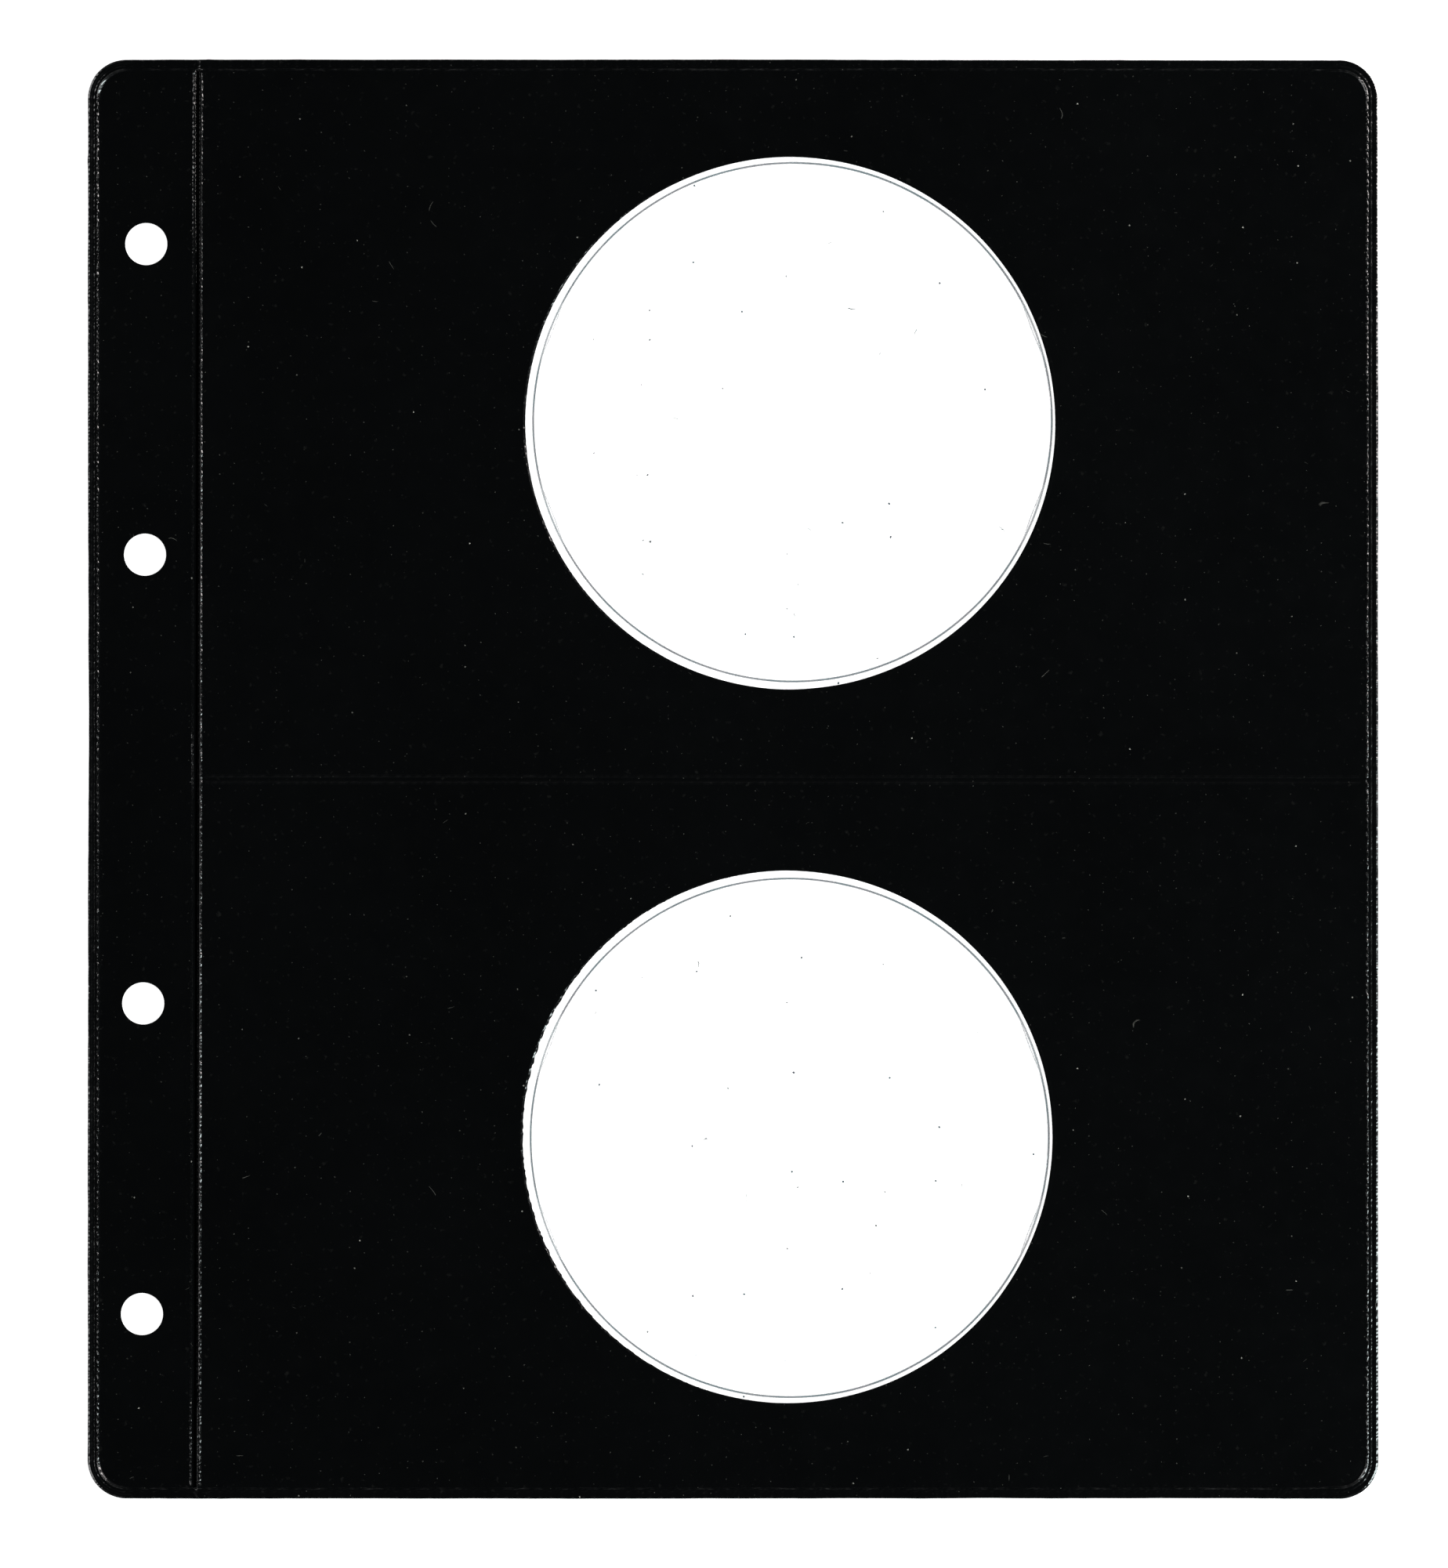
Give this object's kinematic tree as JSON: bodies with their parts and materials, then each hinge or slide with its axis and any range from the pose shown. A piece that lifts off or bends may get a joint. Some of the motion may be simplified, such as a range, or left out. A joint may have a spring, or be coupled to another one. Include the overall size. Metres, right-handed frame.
{
  "type": "coin album page",
  "caption": "Coin album page of welded black vinyl with round clear windows over coin pockets, rear pocket flaps and a folding binding strip with ring holes.",
  "frame": {"origin": "middle of the page's outline, on the surface it lies on, at the outside of the back sheet", "axes": "+X from the binding strip to the free edge, +Y up the page, +Z out of the page's face"},
  "size_m": [0.187, 0.2084, 0.0011],
  "materials": {
    "black_vinyl": "gloss",
    "flap_vinyl": "satin",
    "clear_film": "clear"
  },
  "bodies": {
    "binding_strip": {"front_strip_sheet": "black_vinyl", "back_strip_sheet": "black_vinyl"},
    "panel": {"front_panel_sheet": "black_vinyl", "strip_weld_seam": "black_vinyl", "back_panel_sheet": "black_vinyl", "upper_front_film": "clear_film", "upper_back_film": "clear_film", "lower_front_film": "clear_film", "lower_back_film": "clear_film"},
    "upper_flap": {"upper_pocket_flap": "flap_vinyl"},
    "lower_flap": {"lower_pocket_flap": "flap_vinyl"}
  },
  "joints": [
    {"name": "page_fold", "type": "hinge", "parent": "binding_strip", "child": "panel", "pos_m": [-0.07765, 0, 0.0004], "axis": [0, -1, 0], "range_deg": [0, 90]},
    {"name": "upper_flap_hinge", "type": "hinge", "parent": "panel", "child": "upper_flap", "pos_m": [-0.07555, 0.0517, 0], "axis": [0, 1, 0], "range_deg": [0, 90], "stiffness_Nm_per_rad": 0.0005},
    {"name": "lower_flap_hinge", "type": "hinge", "parent": "panel", "child": "lower_flap", "pos_m": [-0.07555, -0.0517, 0], "axis": [0, 1, 0], "range_deg": [0, 90], "stiffness_Nm_per_rad": 0.0005}
  ]
}
